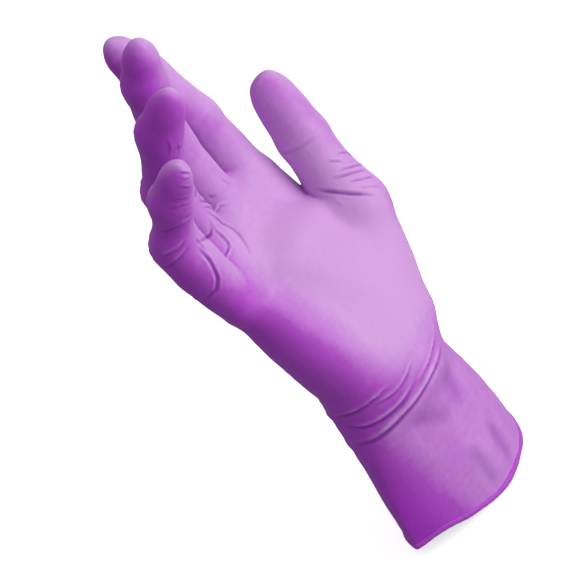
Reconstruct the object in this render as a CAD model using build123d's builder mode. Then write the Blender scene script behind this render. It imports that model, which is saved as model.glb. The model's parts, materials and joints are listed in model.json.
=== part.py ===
from build123d import *
import os
from math import cos, radians, sin, tan

# Disposable nitrile examination glove for a right hand, in its worn shape.
# Row frame: origin at the centre of the cuff mouth, +Z along the forearm towards
# the fingers, palm side towards -Y, thumb side towards +X.  Millimetres.
# The film is divided only at the creases where a worn glove bends.

# ---------------------------------------------------------------- driving dimensions
film = 0.4              # shell thickness of every sleeve
gap = 0.3               # clearance between a tucked crease cap and its parent sleeve
back_off = 0.2          # how far each sleeve end stands back from its hinge line

mouth_a, mouth_b = 42.0, 23.5           # half sizes of the cuff mouth, X and Y
bead_r, bead_flat = 0.9, 1.55           # rolled bead: section radius, height of its flat
wrist_x, wrist_y, wrist_z = -3.0, 0.5, 58.9   # wrist pivot
wrist_a, wrist_b = 29.8, 22.3           # half sizes of the film at the wrist
wrist_rest = -20.3                      # wrist extended in the worn shape, degrees
wrist_dev = -0.9                        # small sideways lean of the hand
wrist_flex_max, wrist_ext_max = 30.0, 42.0    # absolute travel that the sleeves clear

# finger sleeves: bone lengths, film radii at MCP / PIP / DIP / tip, MCP centre in the
# palm frame, lean, and the worn bend of the three joints
index_len, index_r = (43.6, 25.5, 21.5), (9.4, 9.0, 8.2, 6.6)
index_mcp, index_lean, index_bend = (30.0, -4.6, 80.8), -1.9, (11.9, -13.1, 3.1)
middle_len, middle_r = (46.5, 30.0, 21.0), (9.4, 9.1, 8.3, 6.7)
middle_mcp, middle_lean, middle_bend = (9.5, -1.6, 81.3), -4.5, (16.2, 21.6, 12.5)
ring_len, ring_r = (43.0, 28.5, 23.0), (9.3, 8.6, 7.8, 6.3)
ring_mcp, ring_lean, ring_bend = (-10.6, -3.6, 75.8), -4.8, (16.3, 35.7, 18.7)
little_len, little_r = (35.5, 21.5, 21.5), (8.8, 7.7, 6.9, 5.8)
little_mcp, little_lean, little_bend = (-28.5, -8.1, 67.8), -5.1, (11.7, 41.5, 14.0)
pip_back, pip_front = 8.0, 41.0         # half wedge angles of a PIP crease: back, palm side
dip_back, dip_front = 7.0, 25.0         # half wedge angles of a DIP crease

# thumb: bone lengths, film radii, base joint centre in the palm frame, lean / tilt / twist
thumb_len, thumb_r = (44.0, 34.0, 30.3), (14.0, 12.3, 11.0, 8.4)
thumb_cmc, thumb_lean, thumb_tilt, thumb_twist = (24.0, -13.1, 13.8), 21.8, 7.9, -71.1
thumb_mcp_bend, thumb_ip_bend = 11.0, 4.8
thumb_start = 9.0                       # the base sleeve begins this far along the bone
thumb_swing = 12.0                      # half travel of the thumb base, degrees
tmcp_back, tmcp_front = 5.0, 25.0
tip_back, tip_front = 6.0, 33.0

# palm sleeve sections in the palm frame: height, centre x, centre y, half width,
# half thickness
palm_sections = (
    (0.0, 0.0, 0.0, 29.8, 22.3),
    (14.0, 1.0, -1.5, 31.0, 20.0),
    (34.0, 1.2, -4.2, 37.5, 17.5),
    (60.0, 1.2, -5.8, 45.0, 16.4),
    (88.0, 1.2, -6.0, 46.4, 16.4),
)

# ---------------------------------------------------------------- bone frames
cuff_frame = Location((wrist_x, wrist_y, wrist_z))
palm_frame = cuff_frame * Rotation(wrist_rest, 0, 0) * Rotation(0, wrist_dev, 0)


def finger_frames(mcp, lean, bend, lengths):
    base = palm_frame * Location(mcp) * Rotation(0, lean, 0) * Rotation(bend[0], 0, 0)
    middle = base * Location((0, 0, lengths[0])) * Rotation(bend[1], 0, 0)
    tip = middle * Location((0, 0, lengths[1])) * Rotation(bend[2], 0, 0)
    return Plane(base), Plane(middle), Plane(tip)


index_f = finger_frames(index_mcp, index_lean, index_bend, index_len)
middle_f = finger_frames(middle_mcp, middle_lean, middle_bend, middle_len)
ring_f = finger_frames(ring_mcp, ring_lean, ring_bend, ring_len)
little_f = finger_frames(little_mcp, little_lean, little_bend, little_len)

thumb_base_l = (palm_frame * Location(thumb_cmc) * Rotation(0, thumb_lean, 0)
                * Rotation(thumb_tilt, 0, 0) * Rotation(0, 0, thumb_twist))
thumb_mid_l = thumb_base_l * Location((0, 0, thumb_len[0])) * Rotation(thumb_mcp_bend, 0, 0)
thumb_tip_l = thumb_mid_l * Location((0, 0, thumb_len[1])) * Rotation(thumb_ip_bend, 0, 0)
thumb_f = (Plane(thumb_base_l), Plane(thumb_mid_l), Plane(thumb_tip_l))


def side(p):
    """Sketch plane through the bone: sketch x = hinge axis, sketch y = along the bone."""
    return Plane(origin=p.origin, x_dir=p.x_dir, z_dir=-p.y_dir)


def edge_on(p):
    """Sketch plane seen along the hinge: sketch x = towards the back, y = along the bone."""
    return Plane(origin=p.origin, x_dir=p.y_dir, z_dir=p.x_dir)


def bone(p):
    return Axis(p.origin, p.z_dir)


def below_crease(p, back, front, lift=0.0, size=40.0):
    """Takes away everything proximal of the two planes that meet in the hinge line."""
    z0 = back_off + lift
    with BuildSketch(edge_on(p)) as wedge:
        with BuildLine():
            Polyline((-size, z0 + size * tan(radians(front))), (0, z0),
                     (size, z0 + size * tan(radians(back))), (size, -3 * size),
                     (-size, -3 * size), close=True)
        make_face()
    extrude(wedge.sketch, amount=2 * size, both=True, mode=Mode.SUBTRACT)


def above_crease(p, length, back, front, size=40.0):
    """Takes away everything distal of the two planes at the far joint."""
    z0 = length - back_off
    with BuildSketch(edge_on(p)) as wedge:
        with BuildLine():
            Polyline((-size, z0 - size * tan(radians(front))), (0, z0),
                     (size, z0 - size * tan(radians(back))), (size, length + 3 * size),
                     (-size, length + 3 * size), close=True)
        make_face()
    extrude(wedge.sketch, amount=2 * size, both=True, mode=Mode.SUBTRACT)


def bore_of(p, length, r0, r1, back, front, closed):
    """The inside space of a sleeve, beyond the folded film of its crease."""
    with BuildPart() as b:
        with BuildSketch(side(p)) as profile:
            with BuildLine():
                if closed:
                    Polyline((0, 0), (r0 - film, 0), (r1 - film, length - r1))
                    CenterArc((0, length - r1), r1 - film, 0, 90)
                    Line((0, length - film), (0, 0))
                else:
                    Polyline((0, 0), (r0 - film, 0), (r1 - film, length), (r1 - film, length + 30),
                             (0, length + 30), close=True)
            make_face()
        revolve(profile.sketch, axis=bone(p))
        below_crease(p, back, front, lift=film * 1.2)
    return b.part


def crease_sleeve(p, length, r0, r1, back, front, bore, closed=False):
    """Sleeve with a tucked spherical cap at its near joint, made in the open part."""
    cap = r0 - film - gap
    with BuildSketch(side(p)) as profile:
        with BuildLine():
            if closed:
                Polyline((0, 0), (r0, 0), (r1, length - r1))
                CenterArc((0, length - r1), r1, 0, 90)
                Line((0, length), (0, 0))
            else:
                Polyline((0, 0), (r0, 0), (r1, length), (0, length), close=True)
        make_face()
    revolve(profile.sketch, axis=bone(p))
    below_crease(p, back, front)
    with Locations(p.origin):
        Sphere(cap)
    add(bore, mode=Mode.SUBTRACT)
    with Locations(p.origin):
        Sphere(cap - film, mode=Mode.SUBTRACT)
    # the mouth of the cap looks towards the palm side, so the back stays covered when bent
    mouth = Plane(origin=p.origin, z_dir=(p.z_dir * -1 + p.y_dir * -0.8))
    with BuildSketch(mouth) as hole:
        Circle(cap * 0.72)
    extrude(hole.sketch, amount=cap + 2, mode=Mode.SUBTRACT)


def root_sleeve(p, length, r0, r1, start_deg=50.0):
    """Finger base: a round knuckle end inside the palm, then a tapered sleeve."""
    a = radians(start_deg)
    ri = r0 - film
    with BuildSketch(side(p)) as profile:
        with BuildLine():
            CenterArc((0, 0), r0, -90 + start_deg, 90 - start_deg)
            Polyline((r0, 0), (r1, length), (r1 - film, length), (ri, 0))
            CenterArc((0, 0), ri, 0, -(90 - start_deg))
            Line((ri * sin(a), -ri * cos(a)), (r0 * sin(a), -r0 * cos(a)))
        make_face()
    revolve(profile.sketch, axis=bone(p))


# ---------------------------------------------------------------- cuff
with BuildPart() as cuff_bead:
    with BuildLine(Plane.XY.offset(bead_r)) as rim_line:
        EllipticalCenterArc((0, 0), mouth_a, mouth_b, start_angle=0, arc_size=360)
    with BuildSketch(Plane(origin=(mouth_a, 0, bead_r), x_dir=(1, 0, 0), z_dir=(0, 1, 0))):
        Circle(bead_r)
    sweep(path=rim_line.wires()[0])
    with BuildSketch(Plane.XY.offset(bead_flat)):
        Rectangle(120, 120)
    extrude(amount=5, mode=Mode.SUBTRACT)
cuff_bead.part.label = "cuff_bead"

os.makedirs("parts", exist_ok=True)
export_step(cuff_bead.part, "parts/cuff_bead.step")


def cuff_loft(inset, low, high, mode=Mode.ADD):
    rings = []
    for f in (low, 0.35, 0.7, high):
        z = bead_flat + f * (wrist_z - bead_flat)
        k = f - 0.22 * sin(3.14159 * min(max(f, 0.0), 1.0)) * 0.5
        with BuildSketch(Plane.XY.offset(z)) as ring:
            with Locations((wrist_x * f, wrist_y * f)):
                Ellipse(mouth_a + (wrist_a - mouth_a) * k - inset,
                        mouth_b + (wrist_b - mouth_b) * k - inset)
        rings.append(ring.sketch)
    loft(rings, mode=mode)


wrist_plane = Plane(cuff_frame)
palm_plane = Plane(palm_frame)

with BuildPart() as cuff:
    cuff_loft(-film / 2, 0.0, 1.0)
    cuff_loft(film / 2, -0.02, 1.02, mode=Mode.SUBTRACT)
    above_crease(wrist_plane, 0.0, wrist_ext_max / 2, wrist_flex_max / 2)
cuff.part.label = "cuff"
export_step(cuff.part, "parts/cuff.step")

# ---------------------------------------------------------------- palm
nest_a = wrist_a - film - gap - 0.1
nest_b = wrist_b - film - gap - 0.7


def palm_loft(inset, low, high, mode=Mode.ADD):
    rings = []
    for i, (z, cx, cy, a, b) in enumerate(palm_sections):
        zz = z + (low if i == 0 else 0) + (high if i == len(palm_sections) - 1 else 0)
        with BuildSketch(palm_plane.offset(zz)) as ring:
            with Locations((cx, cy)):
                Ellipse(a - inset, b - inset)
        rings.append(ring.sketch)
    loft(rings, mode=mode)


# knuckle rim: one plane, higher on the back and on the thumb side
rim_n = (-0.222, -0.321, 1.0)
rim_plane = Plane(palm_frame * Location((0.75, -5.0, 72.5)))
rim_cut = Plane(origin=rim_plane.origin,
                z_dir=palm_plane.x_dir * rim_n[0] + palm_plane.y_dir * rim_n[1] + palm_plane.z_dir * rim_n[2])

# gathered film of the wrist: a barrel-shaped ring that tucks into the cuff and turns
# about the wrist hinge
with BuildPart() as wrist_fold:
    with BuildSketch(side(palm_plane)):
        with BuildLine():
            EllipticalCenterArc((0, 0), nest_a, nest_b, start_angle=15, arc_size=150)
            Line((nest_a * cos(radians(165)), nest_b * sin(radians(165))),
                 ((nest_a - film) * cos(radians(165)), (nest_b - film) * sin(radians(165))))
            EllipticalCenterArc((0, 0), nest_a - film, nest_b - film, start_angle=165, arc_size=-150)
            Line(((nest_a - film) * cos(radians(15)), (nest_b - film) * sin(radians(15))),
                 (nest_a * cos(radians(15)), nest_b * sin(radians(15))))
        make_face()
    revolve(axis=Axis(palm_plane.origin, palm_plane.x_dir))
    with BuildSketch(palm_plane.offset(5.0)):
        Rectangle(100, 100)
    extrude(amount=60, mode=Mode.SUBTRACT)
    with BuildSketch(palm_plane.offset(-15.5)):
        Rectangle(100, 100)
    extrude(amount=-60, mode=Mode.SUBTRACT)
wrist_fold.part.label = "wrist_fold"
export_step(wrist_fold.part, "parts/wrist_fold.step")

with BuildPart() as palm:
    palm_loft(0.0, 0.0, 0.0)
    palm_loft(film, -1.0, 1.0, mode=Mode.SUBTRACT)
    below_crease(palm_plane, wrist_ext_max / 2, wrist_flex_max / 2, size=60.0)
    with BuildSketch(rim_cut):
        Rectangle(200, 200)
    extrude(amount=60, mode=Mode.SUBTRACT)
    # the fan of space that the thumb base swings through, with clearance
    t = tan(radians(thumb_swing))
    near, far = 4.0, thumb_len[0] + 36.0
    with BuildSketch(edge_on(thumb_f[0])):
        with BuildLine():
            Polyline((-thumb_r[0] - 1.2 - near * t, near), (thumb_r[0] + 1.2 + near * t, near),
                     (thumb_r[0] + 1.2 + far * t, far), (-thumb_r[0] - 1.2 - far * t, far), close=True)
        make_face()
    extrude(amount=thumb_r[0] + 0.6, both=True, mode=Mode.SUBTRACT)
palm.part.label = "palm"
export_step(palm.part, "parts/palm.step")

# ---------------------------------------------------------------- thumb
with BuildPart() as thumb_base:
    p = thumb_f[0]
    with BuildSketch(side(p)):
        with BuildLine():
            Polyline((thumb_r[0], thumb_start), (thumb_r[1], thumb_len[0]),
                     (thumb_r[1] - film, thumb_len[0]), (thumb_r[0] - film, thumb_start), close=True)
        make_face()
    revolve(axis=bone(p))
    above_crease(p, thumb_len[0], tmcp_back, tmcp_front)
thumb_base.part.label = "thumb_base"
export_step(thumb_base.part, "parts/thumb_base.step")

thumb_middle_bore = bore_of(thumb_f[1], thumb_len[1], thumb_r[1], thumb_r[2], tmcp_back, tmcp_front, False)
with BuildPart() as thumb_middle:
    crease_sleeve(thumb_f[1], thumb_len[1], thumb_r[1], thumb_r[2], tmcp_back, tmcp_front, thumb_middle_bore)
    above_crease(thumb_f[1], thumb_len[1], tip_back, tip_front)
thumb_middle.part.label = "thumb_middle"
export_step(thumb_middle.part, "parts/thumb_middle.step")

thumb_tip_bore = bore_of(thumb_f[2], thumb_len[2], thumb_r[2], thumb_r[3], tip_back, tip_front, True)
with BuildPart() as thumb_tip:
    crease_sleeve(thumb_f[2], thumb_len[2], thumb_r[2], thumb_r[3], tip_back, tip_front, thumb_tip_bore, closed=True)
thumb_tip.part.label = "thumb_tip"
export_step(thumb_tip.part, "parts/thumb_tip.step")

# ---------------------------------------------------------------- index finger
with BuildPart() as index_base:
    root_sleeve(index_f[0], index_len[0], index_r[0], index_r[1])
    above_crease(index_f[0], index_len[0], pip_back, pip_front)
index_base.part.label = "index_base"
export_step(index_base.part, "parts/index_base.step")

index_middle_bore = bore_of(index_f[1], index_len[1], index_r[1], index_r[2], pip_back, pip_front, False)
with BuildPart() as index_middle:
    crease_sleeve(index_f[1], index_len[1], index_r[1], index_r[2], pip_back, pip_front, index_middle_bore)
    above_crease(index_f[1], index_len[1], dip_back, dip_front)
index_middle.part.label = "index_middle"
export_step(index_middle.part, "parts/index_middle.step")

index_tip_bore = bore_of(index_f[2], index_len[2], index_r[2], index_r[3], dip_back, dip_front, True)
with BuildPart() as index_tip:
    crease_sleeve(index_f[2], index_len[2], index_r[2], index_r[3], dip_back, dip_front, index_tip_bore, closed=True)
index_tip.part.label = "index_tip"
export_step(index_tip.part, "parts/index_tip.step")

# ---------------------------------------------------------------- middle finger
with BuildPart() as middle_base:
    root_sleeve(middle_f[0], middle_len[0], middle_r[0], middle_r[1])
    above_crease(middle_f[0], middle_len[0], pip_back, pip_front)
middle_base.part.label = "middle_base"
export_step(middle_base.part, "parts/middle_base.step")

middle_middle_bore = bore_of(middle_f[1], middle_len[1], middle_r[1], middle_r[2], pip_back, pip_front, False)
with BuildPart() as middle_middle:
    crease_sleeve(middle_f[1], middle_len[1], middle_r[1], middle_r[2], pip_back, pip_front, middle_middle_bore)
    above_crease(middle_f[1], middle_len[1], dip_back, dip_front)
middle_middle.part.label = "middle_middle"
export_step(middle_middle.part, "parts/middle_middle.step")

middle_tip_bore = bore_of(middle_f[2], middle_len[2], middle_r[2], middle_r[3], dip_back, dip_front, True)
with BuildPart() as middle_tip:
    crease_sleeve(middle_f[2], middle_len[2], middle_r[2], middle_r[3], dip_back, dip_front, middle_tip_bore, closed=True)
middle_tip.part.label = "middle_tip"
export_step(middle_tip.part, "parts/middle_tip.step")

# ---------------------------------------------------------------- ring finger
with BuildPart() as ring_base:
    root_sleeve(ring_f[0], ring_len[0], ring_r[0], ring_r[1])
    above_crease(ring_f[0], ring_len[0], pip_back, pip_front)
ring_base.part.label = "ring_base"
export_step(ring_base.part, "parts/ring_base.step")

ring_middle_bore = bore_of(ring_f[1], ring_len[1], ring_r[1], ring_r[2], pip_back, pip_front, False)
with BuildPart() as ring_middle:
    crease_sleeve(ring_f[1], ring_len[1], ring_r[1], ring_r[2], pip_back, pip_front, ring_middle_bore)
    above_crease(ring_f[1], ring_len[1], dip_back, dip_front)
ring_middle.part.label = "ring_middle"
export_step(ring_middle.part, "parts/ring_middle.step")

ring_tip_bore = bore_of(ring_f[2], ring_len[2], ring_r[2], ring_r[3], dip_back, dip_front, True)
with BuildPart() as ring_tip:
    crease_sleeve(ring_f[2], ring_len[2], ring_r[2], ring_r[3], dip_back, dip_front, ring_tip_bore, closed=True)
ring_tip.part.label = "ring_tip"
export_step(ring_tip.part, "parts/ring_tip.step")

# ---------------------------------------------------------------- little finger
with BuildPart() as little_base:
    root_sleeve(little_f[0], little_len[0], little_r[0], little_r[1])
    above_crease(little_f[0], little_len[0], pip_back, pip_front)
little_base.part.label = "little_base"
export_step(little_base.part, "parts/little_base.step")

little_middle_bore = bore_of(little_f[1], little_len[1], little_r[1], little_r[2], pip_back, pip_front, False)
with BuildPart() as little_middle:
    crease_sleeve(little_f[1], little_len[1], little_r[1], little_r[2], pip_back, pip_front, little_middle_bore)
    above_crease(little_f[1], little_len[1], dip_back, dip_front)
little_middle.part.label = "little_middle"
export_step(little_middle.part, "parts/little_middle.step")

little_tip_bore = bore_of(little_f[2], little_len[2], little_r[2], little_r[3], dip_back, dip_front, True)
with BuildPart() as little_tip:
    crease_sleeve(little_f[2], little_len[2], little_r[2], little_r[3], dip_back, dip_front, little_tip_bore, closed=True)
little_tip.part.label = "little_tip"
export_step(little_tip.part, "parts/little_tip.step")
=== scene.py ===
"""Disposable nitrile glove, kept in the shape it has when worn: open cuff, hollow hand, five closed fingers.
The film is one skin in the real thing.  Here it is cut into one piece per moving part, and neighbouring
pieces share their border; only the cuff, the palm and the rim bead are attached to their bodies."""
import math
import bpy
import numpy as np
from mathutils import Matrix, Vector
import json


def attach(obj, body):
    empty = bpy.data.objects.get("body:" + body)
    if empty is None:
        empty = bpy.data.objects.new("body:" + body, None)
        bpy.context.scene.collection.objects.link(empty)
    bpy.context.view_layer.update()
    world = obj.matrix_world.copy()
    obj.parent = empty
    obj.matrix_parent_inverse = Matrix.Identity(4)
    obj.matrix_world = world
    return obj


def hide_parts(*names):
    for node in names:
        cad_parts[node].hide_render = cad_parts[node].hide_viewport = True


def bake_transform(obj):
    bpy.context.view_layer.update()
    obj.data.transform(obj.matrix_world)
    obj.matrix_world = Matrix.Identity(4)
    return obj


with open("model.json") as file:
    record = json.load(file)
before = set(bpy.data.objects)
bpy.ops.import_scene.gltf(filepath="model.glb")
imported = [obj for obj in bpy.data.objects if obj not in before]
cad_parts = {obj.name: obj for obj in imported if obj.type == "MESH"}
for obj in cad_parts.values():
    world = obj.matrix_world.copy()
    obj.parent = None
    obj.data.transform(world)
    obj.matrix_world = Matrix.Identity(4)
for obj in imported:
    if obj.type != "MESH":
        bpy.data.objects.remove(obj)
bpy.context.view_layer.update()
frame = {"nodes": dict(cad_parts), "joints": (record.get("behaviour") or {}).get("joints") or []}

# ------------------------------------------------------------------ small helpers (millimetres)
f4=np.float32
def rx(a):
    c,s=np.cos(np.radians(a)),np.sin(np.radians(a)); return np.array([[1,0,0],[0,c,-s],[0,s,c]])
def unit(v):
    v=np.asarray(v,float); return v/np.linalg.norm(v)
def sst(x,a,b):
    t=np.clip((x-a)/(b-a),0,1); return t*t*(3-2*t)
def smin(a,b,k):
    h=np.clip(0.5+0.5*(b-a)/k,0,1); return b+(a-b)*h-k*h*(1-h)
def smax(a,b,k): return -smin(-a,-b,k)
def curve(z,zs,vs):
    """smooth monotone-ish interpolation through control rows"""
    zs=np.asarray(zs,float); vs=np.asarray(vs,float)
    m=np.gradient(vs,zs)
    i=np.clip(np.searchsorted(zs,z)-1,0,len(zs)-2)
    h=zs[i+1]-zs[i]; t=np.clip((z-zs[i])/h,0,1)
    return ((2*t**3-3*t**2+1)*vs[i]+(t**3-2*t**2+t)*h*m[i]+(-2*t**3+3*t**2)*vs[i+1]+(t**3-t**2)*h*m[i+1])
def limb(P,A,B,prof,flat=None):
    """swept round form from A to B; prof = (positions 0..1, radii); flat=(axis, factor)"""
    d=B-A; L=np.linalg.norm(d); d=d/L
    Q=P-A; t=Q@d; tc=np.clip(t,0,L)
    V=Q-np.outer(tc,d)
    if flat is not None:
        ax,fac=flat; V=V+np.outer((V@ax)*(fac-1),ax)
    r=curve(tc/L,prof[0],prof[1])
    return np.sqrt((V*V).sum(1))-r
def capped(P,A,B,prof,cap,flat=None):
    """as limb, but closed by a smooth ellipsoid over the last cap mm"""
    d=B-A; L=np.linalg.norm(d); d=d/L
    Q=P-A; t=Q@d; V=Q-np.outer(np.clip(t,0,None),d)
    if flat is not None:
        ax,fac=flat; V=V+np.outer((V@ax)*(fac-1),ax)
    r=curve(np.clip(t,0,L)/L,prof[0],prof[1])
    e=np.clip(t-(L-cap),0,None)/cap
    return (np.sqrt((V*V).sum(1)/(r*r)+e*e)-1)*r
def section(P,O,X,Y,Z,rows,mpow=None):
    """lofted tube: rows of (z, cx, cy, a, b, n) ; f=|u|^n+|v|^m"""
    Q=P-O; x=Q@X; y=Q@Y; z=Q@Z
    R=np.array(rows,float); zs=R[:,0]
    zc=np.clip(z,zs[0],zs[-1])
    cx,cy,a,b,n,m=[curve(zc,zs,R[:,i]) for i in (1,2,3,4,5,6)]
    u=np.abs(x-cx)/a+1e-6; v=np.abs(y-cy)/b+1e-6
    f=u**n+v**m-1
    g=np.sqrt((n*u**(n-1)/a)**2+(m*v**(m-1)/b)**2)+1e-4
    d=f/g
    # far inside or outside the estimate is poor: bound it
    d=np.clip(d,-30,30)
    e=np.maximum(zs[0]-z,z-zs[-1])
    return d,e,z

# ------------------------------------------------------------------ field
FINGERS=('index','middle','ring','little')
def build_field(SK, PO, RH, final=True):
    """SK: finger -> 4 points (mm); PO wrist pivot; RH hand axes (columns)."""
    Z=np.array([0,0,1.]); X=np.array([1.,0,0]); Y=np.array([0,1.,0])
    hx,hy,hz=RH[:,0],RH[:,1],RH[:,2]
    W=lambda x,y,z: PO+hx*x+hy*y+hz*z
    SK={k:np.array(v,float) for k,v in SK.items()}
    SK['index'][0]-=hx*0.8; SK['index'][1]-=hx*1.2; SK['index'][2]-=hx*0.2      # the film lies a little nearer the next finger than the bone line
    side=np.array([.408,-.755,-.513])
    SK['thumb'][1]+=side*1.4; SK['thumb'][2]-=side*0.2; SK['thumb'][3]-=side*0.6
    cuff_rows=[(-8,1.2,-.9,46.3,25,2,1.05),(0,.9,-.8,45.2,24.6,2,1.1),(15,.4,-.8,43.2,23.8,2,1.25),(35,-.5,-.7,38.7,22.4,2,1.5),(50,-1.8,-.4,33.3,21.2,2,1.8),(58,-2.8,.3,28.7,20.6,2,2),(66,-3.3,.3,26.6,20.0,2,2)]
    palm_rows=[(-8,-.4,0,26.6,20.8,2,2),(0,-.5,-.3,26.2,20.3,2,2),(14,-.4,-2,26.8,18.0,2.1,2.1),(34,1.7,-4.6,31.0,14.8,2.2,2.2),(58,4.2,-5.4,34.4,12.8,2.3,2.2),(76,3.9,-5.0,36.2,11.8,2.4,2.3),(90,3.0,-5.6,35.4,9.6,2.5,2.2),(98,2.2,-6.6,34,6.5,2.4,2.1)]
    prof={'index':([0,.3,.62,1],[9.5,9.2,9.0,8.3],[0,.5,1],[8.3,8.7,8.3],[0,.45,1],[8.0,7.4,6.0],9.0),
          'middle':([0,.3,.62,1],[9.9,9.3,9.0,9.0],[0,.5,1],[9.0,8.6,8.2],[0,.45,1],[8.2,7.5,5.8],9.0),
          'ring':([0,.3,.62,1],[9.4,8.8,8.6,9.0],[0,.5,1],[9.0,8.2,8.3],[0,.45,1],[8.3,7.7,6.1],10.0),
          'little':([0,.3,.62,1],[6.2,8.7,10.3,9.5],[0,.5,1],[8.6,7.7,7.9],[0,.45,1],[7.9,7.0,5.3],9.5),
          'thumb':([0,.3,.7,1],[10.4,12.9,14.0,14.4],[0,.22,.5,1],[14.6,14.0,11.7,10.5],[0,.4,1],[10.6,10.0,7.5],11.5)}
    FLAT={'index':.90,'middle':.95}
    def finger_field(P,k):
        S=SK[k]; pr=prof[k]
        u3=unit(S[3]-S[2])
        fl=(hx,FLAT[k]) if k in FLAT else None
        a=limb(P,S[0],S[1],(pr[0],pr[1]),fl); b=limb(P,S[1],S[2],(pr[2],pr[3]),fl); c=capped(P,S[2],S[3]+u3*(1.2 if k=='thumb' else 0),(pr[4],pr[5]),pr[6],fl)
        if k=='thumb': c=smax(c,(P-S[3])@unit(u3-side*0.25)-0.4,3.2)
        return a,b,c
    def F(P):
        P=np.asarray(P,float)
        dc,ec,zc=section(P,np.zeros(3),X,Y,Z,cuff_rows)
        dc=smax(dc,ec,4.0)
        # palm loft with slanted knuckle line
        Q=P-PO; x=Q@hx; z=Q@hz
        sh=0.21*x*sst(z,45,80)
        P2=P-np.outer(sh,hz)
        dp,ep,zp=section(P2,PO,hx,hy,hz,palm_rows)
        dp=smax(dp,ep,5.0)
        D=smin(dc,dp,10.0)
        th=SK['thumb']; pr=prof['thumb']
        ta,tb,tc=finger_field(P,'thumb')
        hyp=limb(P,W(-16,-9,16),W(-23.0,-9,60),([0,.4,.75,1],[12.4,12.6,10.0,6.0]))
        D=smin(D,hyp,9.0)
        D=smin(D,ta,15.0)
        pad=limb(P,W(1,-7.5,4),W(4,-10,62),([0,.5,1],[15.6,14.6,11.5]))
        D=smin(D,pad,13.0)
        pad2=limb(P,W(13,-10.5,16),W(17,-12,62),([0,.5,1],[13.6,13.8,9.5]))
        D=smin(D,pad2,13.0)
        web=limb(P,W(29,-7,68),th[1]-unit(th[2]-th[1])*5,([0,1],[3.6,3.6]))
        D=smin(D,web,5.0)
        web2=limb(P,W(27,-6,60),W(36,-12,50),([0,1],[9,9]))
        D=smin(D,web2,8.0)
        tt=smin(tb,tc,3.0)
        fs={}
        for k in FINGERS:
            a,b,c=finger_field(P,k)
            fs[k]=smin(smin(a,b,4.0),c,4.0)
        for i,k in enumerate(FINGERS):
            f=fs[k]; u=unit(SK[k][1]-SK[k][0]); s=(P-SK[k][0])@u
            w=sst(s,14,30)
            for j in (i-1,i+1):
                if 0<=j<4:
                    o=fs[FINGERS[j]]
                    f=smax(f,(f-o)*0.5+0.55-6.0*(1-w),1.2)
            kk=(7.0,9.0,9.0,5.0)[i]*(1-sst(s,10,27))+0.4
            D=smin(D,f,kk)
        u=unit(th[2]-th[1]); s=(P-th[1])@u
        D=smin(D,tt,4.0*(1-sst(s,2,14))+0.4)
        return D
    return F

def mesh_field(F, lo, hi, h):
    """surface nets on a grid, evaluated only near the surface"""
    lo=np.array(lo,float); hi=np.array(hi,float)
    n=np.ceil((hi-lo)/h).astype(int)+1
    C=4
    nc=np.ceil(n/C).astype(int)+1
    gc=np.stack(np.meshgrid(*[lo[i]+np.arange(nc[i])*h*C for i in range(3)],indexing='ij'),-1).reshape(-1,3)
    dc=F(gc).reshape(nc)
    full=np.repeat(np.repeat(np.repeat(dc,C,0),C,1),C,2)[:n[0],:n[1],:n[2]].astype(f4)
    # coarse cells near the surface
    near=np.abs(dc)<h*C*1.9
    act=np.repeat(np.repeat(np.repeat(near,C,0),C,1),C,2)
    # grid point i belongs to coarse point i//C ; also need neighbours
    k=near.copy()
    for ax in range(3):
        s=np.zeros_like(k); sl=[slice(None)]*3; sr=[slice(None)]*3
        sl[ax]=slice(1,None); sr[ax]=slice(None,-1)
        s[tuple(sl)]|=k[tuple(sr)]; s[tuple(sr)]|=k[tuple(sl)]; k=k|s
    act=np.repeat(np.repeat(np.repeat(k,C,0),C,1),C,2)[:n[0],:n[1],:n[2]]
    idx=np.argwhere(act)
    vals=np.empty(len(idx),f4)
    for i in range(0,len(idx),200000):
        vals[i:i+200000]=F(lo+idx[i:i+200000]*h)
    full[act]=vals
    S=full<0
    # cells
    c=[S[i:n[0]-1+i,j:n[1]-1+j,k_:n[2]-1+k_] for i in (0,1) for j in (0,1) for k_ in (0,1)]
    cnt=sum(a.astype(np.int8) for a in c)
    cell=(cnt>0)&(cnt<8)
    ci=np.argwhere(cell)
    vid=-np.ones(cell.shape,np.int32); vid[cell]=np.arange(len(ci))
    acc=np.zeros((len(ci),3)); num=np.zeros(len(ci))
    corners=[(i,j,k_) for i in (0,1) for j in (0,1) for k_ in (0,1)]
    val={}
    for o in corners: val[o]=full[ci[:,0]+o[0],ci[:,1]+o[1],ci[:,2]+o[2]].astype(float)
    for a in corners:
        for ax in range(3):
            if a[ax]==0:
                b=list(a); b[ax]=1; b=tuple(b)
                va,vb=val[a],val[b]; m=(va<0)!=(vb<0)
                t=np.where(m,va/np.where(m,va-vb,1),0)
                p=np.array(a)[None]+0.0*acc; p=p.astype(float); p[:,ax]+=t
                acc[m]+=p[m]; num[m]+=1
    V=lo+(ci+acc/num[:,None])*h
    Fq=[]
    for ax in range(3):
        b1,b2=[(1,2),(2,0),(0,1)][ax]
        sl0=[slice(1,n[i]-1) for i in range(3)]; sl0[ax]=slice(0,n[ax]-1)
        sl1=list(sl0); sl1[ax]=slice(1,n[ax])
        A=S[tuple(sl0)]; B=S[tuple(sl1)]
        e=np.argwhere(A!=B)+np.array([0 if i==ax else 1 for i in range(3)])
        ins=S[e[:,0],e[:,1],e[:,2]]
        d1=np.zeros(3,int); d1[b1]=1; d2=np.zeros(3,int); d2[b2]=1
        q=[e-d1-d2,e-d2,e,e-d1]
        q=np.stack([vid[v[:,0],v[:,1],v[:,2]] for v in q],1)
        q[~ins]=q[~ins][:,::-1]
        Fq.append(q)
    Q=np.concatenate(Fq)
    Q=Q[(Q>=0).all(1)]
    return V,Q

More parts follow.
